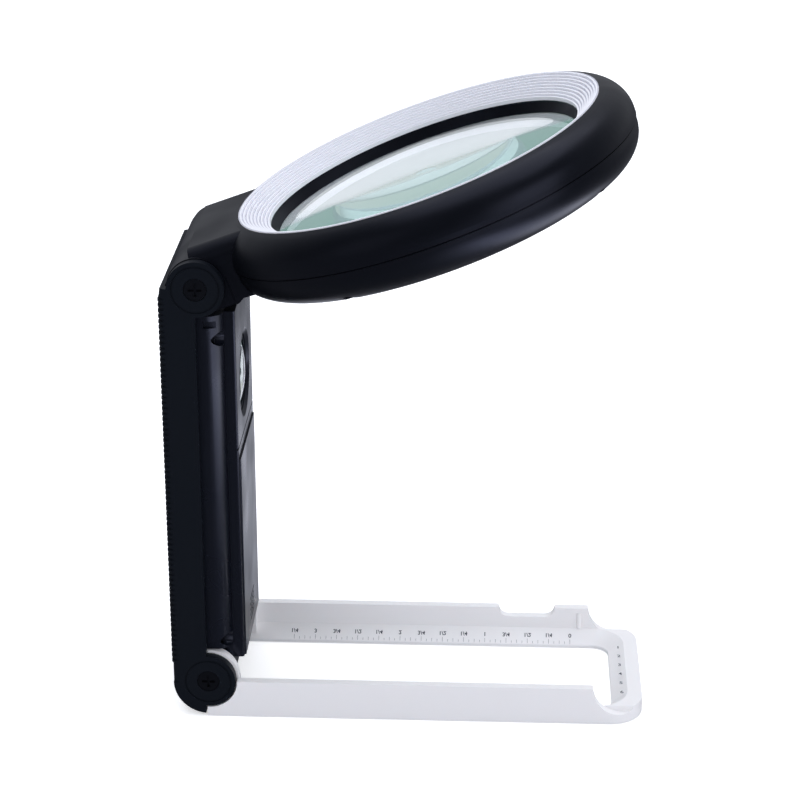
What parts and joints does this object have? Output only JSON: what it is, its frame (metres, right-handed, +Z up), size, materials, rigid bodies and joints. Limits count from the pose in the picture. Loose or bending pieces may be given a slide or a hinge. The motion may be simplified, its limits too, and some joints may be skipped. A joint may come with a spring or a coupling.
{
  "type": "folding illuminated hand lens",
  "caption": "Folding hand lens with a round lighted head tilting on a slim battery handle, which folds down into a small stand frame.",
  "frame": {"origin": "middle of the footprint box, at table level", "axes": "+Z up, +X from the handle towards the frame's crossbar under the lens, +Y towards the side with the slide switch"},
  "size_m": [0.1328, 0.1164, 0.1762],
  "materials": {
    "white_abs": "satin moulded",
    "black_abs": "fine matte texture",
    "lens_glass": "polished",
    "window_plastic": "clear polished",
    "steel": "nickel plated",
    "cell_jacket": "printed film over the can",
    "board": "white solder mask",
    "led_body": "moulded"
  },
  "bodies": {
    "base": {"base_frame": "white_abs"},
    "handle": {"rear_shell": "black_abs", "front_shell": "black_abs", "small_lens": "lens_glass", "small_lens_ring": "black_abs", "battery_cells": "cell_jacket", "cell_springs": "steel", "cell_contacts": "steel", "switch_body": "steel", "handle_screws": "steel", "base_hinge_screws": "steel", "head_hinge_screws": "steel", "hinge_washers": "steel"},
    "door": {"battery_door": "black_abs"},
    "switch": {"switch_knob": "black_abs"},
    "head": {"upper_shell": "black_abs", "lower_shell": "black_abs", "light_ring": "white_abs", "main_lens": "lens_glass", "bore_liner": "white_abs", "led_board": "board", "leds": "led_body", "led_window": "window_plastic", "head_screws": "steel"}
  },
  "joints": [
    {"name": "base_fold", "type": "hinge", "parent": "base", "child": "handle", "pos_m": [-0.05582, 0, 0.0108], "axis": [0, 1, 0], "range_deg": [0, 75]},
    {"name": "head_tilt", "type": "hinge", "parent": "handle", "child": "head", "pos_m": [-0.05582, 0, 0.1268], "axis": [0, -1, 0], "range_deg": [0, 69.8]},
    {"name": "door_slide", "type": "slide", "parent": "handle", "child": "door", "axis": [0, 0, -1], "range_m": [0, 0.008]},
    {"name": "switch_slide", "type": "slide", "parent": "handle", "child": "switch", "axis": [0, 0, 1], "range_m": [0, 0.004]}
  ]
}
